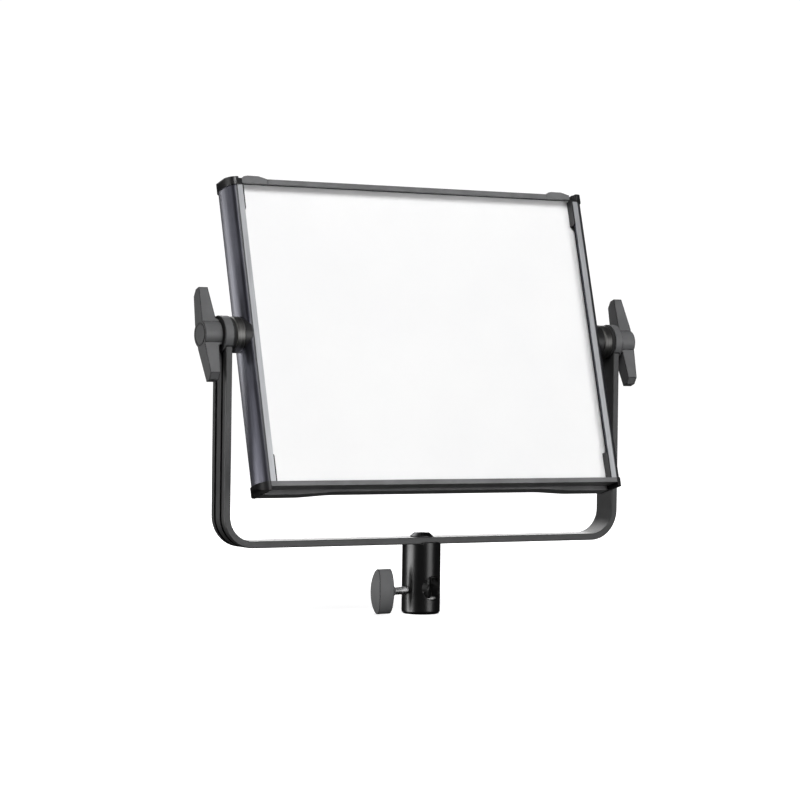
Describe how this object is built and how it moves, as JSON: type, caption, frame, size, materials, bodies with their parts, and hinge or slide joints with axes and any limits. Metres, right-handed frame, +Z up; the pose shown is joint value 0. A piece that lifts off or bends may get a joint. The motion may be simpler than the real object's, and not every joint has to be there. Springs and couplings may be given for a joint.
{
  "type": "led panel light",
  "caption": "Flat LED panel light with opal diffuser, tilting in a U-shaped yoke with wing knobs, on a stud receiver with a clamp knob; rear controls and battery plate.",
  "frame": {"origin": "centre of the upright stand socket's mouth, at the receiver's bottom face", "axes": "+Z up along the socket, the panel shines towards -Y, the tilt axis runs along X at z = 203 mm"},
  "size_m": [0.3666, 0.1072, 0.318],
  "materials": {
    "yoke_coat": "fine matte powder coat",
    "receiver_coat": "satin black",
    "bar_coat": "fine matte powder coat",
    "cover_coat": "fine matte powder coat",
    "anodised_rail": "dark anodised sides, bare brushed front lip",
    "gloss_cap": "gloss moulded black",
    "moulded_black": "fine moulded texture",
    "knob_plastic": "glass-filled moulded plastic",
    "housing_plastic": "fine moulded texture",
    "rubber_black": "matte",
    "key_rubber": "matte",
    "blackened_steel": "black oxide",
    "zinc_steel": "zinc plated",
    "turned_aluminium": "fine turned, light anodised",
    "bare_aluminium": "as extruded",
    "brass": "plain",
    "opal_sheet": "opal diffusing sheet",
    "white_reflector": "white",
    "led_phosphor": "phosphor dome",
    "circuit_board": "solder mask",
    "display": "dark display glass",
    "clear_window": "clear",
    "release_plastic": "dark red moulded"
  },
  "bodies": {
    "root": {"yoke": "yoke_coat", "arm_collars": "knob_plastic", "rubber_washers": "rubber_black", "yoke_bolt": "blackened_steel", "stand_receiver": "receiver_coat"},
    "clamp_tip": {"clamp_pad": "brass"},
    "clamp_grip": {"clamp_knob": "knob_plastic", "clamp_screw": "zinc_steel"},
    "head": {"side_rail_left": "anodised_rail", "side_rail_right": "anodised_rail", "top_end_caps": "gloss_cap", "bottom_end_caps": "gloss_cap", "end_cap_screws": "blackened_steel", "top_bar": "bar_coat", "bottom_bar": "bar_coat", "latch_pins": "zinc_steel", "latch_springs": "zinc_steel", "corner_clips": "gloss_cap", "diffuser": "opal_sheet", "mixing_tray": "white_reflector", "led_board": "white_reflector", "led_chips": "led_phosphor", "heat_sink": "bare_aluminium", "back_cover": "cover_coat", "rear_screws": "blackened_steel", "control_housing": "housing_plastic", "control_board": "circuit_board", "driver_board": "circuit_board", "display_panel": "display", "display_window": "clear_window", "encoder_cases": "zinc_steel", "switch_body": "housing_plastic", "power_socket": "moulded_black", "data_port": "zinc_steel", "battery_plate": "moulded_black", "battery_contacts": "brass", "catch_spring": "zinc_steel", "pivot_boss_left": "turned_aluminium", "pivot_boss_right": "turned_aluminium", "pivot_spacers": "moulded_black", "pivot_nut_plates": "zinc_steel"},
    "left_latch": {"accessory_latch_left": "bar_coat"},
    "right_latch": {"accessory_latch_right": "bar_coat"},
    "dimmer_push": {"dimmer_plunger": "moulded_black"},
    "dimmer_dial": {"dimmer_knob": "knob_plastic"},
    "colour_push": {"colour_plunger": "moulded_black"},
    "colour_dial": {"colour_knob": "knob_plastic"},
    "mode_key": {"mode_button": "key_rubber"},
    "menu_key": {"menu_button": "key_rubber"},
    "back_key": {"back_button": "key_rubber"},
    "rocker": {"power_rocker": "gloss_cap"},
    "catch": {"battery_catch": "zinc_steel"},
    "release": {"battery_release": "release_plastic"},
    "left_washer": {"tilt_washer_left": "zinc_steel"},
    "right_washer": {"tilt_washer_right": "zinc_steel"},
    "left_grip": {"tilt_knob_left": "knob_plastic", "tilt_screw_left": "zinc_steel"},
    "right_grip": {"tilt_knob_right": "knob_plastic", "tilt_screw_right": "zinc_steel"}
  },
  "joints": [
    {"name": "head_tilt", "type": "hinge", "parent": "root", "child": "head", "pos_m": [0, 0, 0.203], "axis": [1, 0, 0], "continuous": true},
    {"name": "left_washer_slide", "type": "slide", "parent": "head", "child": "left_washer", "axis": [-1, 0, 0], "range_m": [0, 0.00205]},
    {"name": "left_knob_turn", "type": "hinge", "parent": "left_washer", "child": "left_grip", "pos_m": [-0.17, 0, 0.203], "axis": [-1, 0, 0], "range_deg": [0, 720]},
    {"name": "right_washer_slide", "type": "slide", "parent": "head", "child": "right_washer", "axis": [1, 0, 0], "range_m": [0, 0.00205]},
    {"name": "right_knob_turn", "type": "hinge", "parent": "right_washer", "child": "right_grip", "pos_m": [0.17, 0, 0.203], "axis": [1, 0, 0], "range_deg": [0, 720]},
    {"name": "clamp_tip_slide", "type": "slide", "parent": "root", "child": "clamp_tip", "axis": [0.9893, 0.1461, 0], "range_m": [-0.00205, 0.00105]},
    {"name": "clamp_knob_turn", "type": "hinge", "parent": "clamp_tip", "child": "clamp_grip", "pos_m": [0, 0, 0.0176], "axis": [0.9893, 0.1461, 0], "range_deg": [-720, 360]},
    {"name": "left_latch_lift", "type": "hinge", "parent": "head", "child": "left_latch", "pos_m": [-0.1315, 0.03338, 0.30918], "axis": [-1, 0, 0], "range_deg": [0, 80]},
    {"name": "right_latch_lift", "type": "hinge", "parent": "head", "child": "right_latch", "pos_m": [0.1291, 0.03338, 0.30918], "axis": [-1, 0, 0], "range_deg": [0, 80]},
    {"name": "dimmer_press", "type": "slide", "parent": "head", "child": "dimmer_push", "axis": [0, -0.9632, 0.2689], "range_m": [0, 0.0007]},
    {"name": "dimmer_turn", "type": "hinge", "parent": "dimmer_push", "child": "dimmer_dial", "pos_m": [-0.066, 0.02266, 0.14061], "axis": [0, 0.9632, -0.2689], "continuous": true},
    {"name": "colour_press", "type": "slide", "parent": "head", "child": "colour_push", "axis": [0, -0.9632, 0.2689], "range_m": [0, 0.0007]},
    {"name": "colour_turn", "type": "hinge", "parent": "colour_push", "child": "colour_dial", "pos_m": [0.066, 0.02266, 0.14061], "axis": [0, 0.9632, -0.2689], "continuous": true},
    {"name": "mode_press", "type": "slide", "parent": "head", "child": "mode_key", "axis": [0, -0.9632, 0.2689], "range_m": [0, 0.0008]},
    {"name": "menu_press", "type": "slide", "parent": "head", "child": "menu_key", "axis": [0, -0.9632, 0.2689], "range_m": [0, 0.0008]},
    {"name": "back_press", "type": "slide", "parent": "head", "child": "back_key", "axis": [0, -0.9632, 0.2689], "range_m": [0, 0.0008]},
    {"name": "power_rock", "type": "hinge", "parent": "head", "child": "rocker", "pos_m": [0.044, 0.00207, 0.11895], "axis": [0, -0.9632, 0.2689], "range_deg": [0, 16]},
    {"name": "release_press", "type": "slide", "parent": "head", "child": "release", "axis": [-1, 0, 0], "range_m": [0, 0.003]},
    {"name": "catch_slide", "type": "slide", "parent": "head", "child": "catch", "axis": [0, -0.9632, 0.2689], "range_m": [0, 0.00305]}
  ],
  "couplings": [
    {"joint": "left_washer_slide", "follows": "left_knob_turn", "m_per_rad": 0.00015915},
    {"joint": "right_washer_slide", "follows": "right_knob_turn", "m_per_rad": 0.00015915},
    {"joint": "clamp_tip_slide", "follows": "clamp_knob_turn", "m_per_rad": 0.00015915},
    {"joint": "catch_slide", "follows": "release_press", "ratio": 1}
  ]
}
